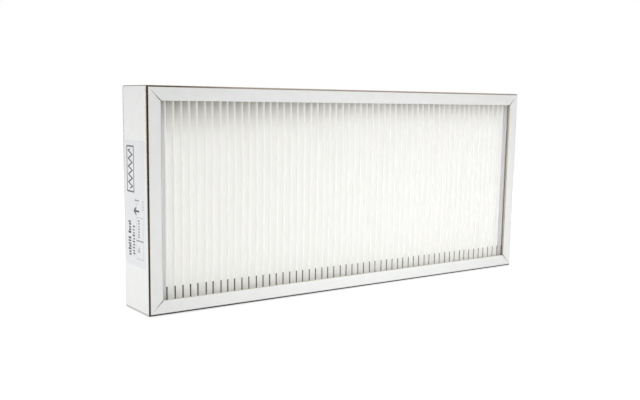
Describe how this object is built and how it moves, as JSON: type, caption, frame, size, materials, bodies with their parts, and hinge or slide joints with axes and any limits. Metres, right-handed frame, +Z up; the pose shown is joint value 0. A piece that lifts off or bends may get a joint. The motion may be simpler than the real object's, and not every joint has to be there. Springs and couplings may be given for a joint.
{
  "type": "pollen filter",
  "caption": "Pleated panel air filter: upright folds of white filter cloth glued into a shallow rectangular frame of folded white board, with a paper label on one end.",
  "frame": {"origin": "middle of the underside, the face that the frame stands on", "axes": "+X along the frame's width, away from the labelled end; +Y through its depth, from the front face to the rear one; +Z up"},
  "size_m": [0.4301, 0.048, 0.186],
  "materials": {
    "board": "white-lined board, matt, brown core at the cut edges",
    "filter_cloth": "white nonwoven filter cloth, matt",
    "glue": "set glue, dull",
    "label_paper": "smooth paper with grey print"
  },
  "bodies": {
    "root": {"board_frame": "board", "pleated_media": "filter_cloth", "adhesive_bottom": "glue", "adhesive_top": "glue", "adhesive_left": "glue", "adhesive_right": "glue", "side_label": "label_paper"}
  },
  "joints": []
}
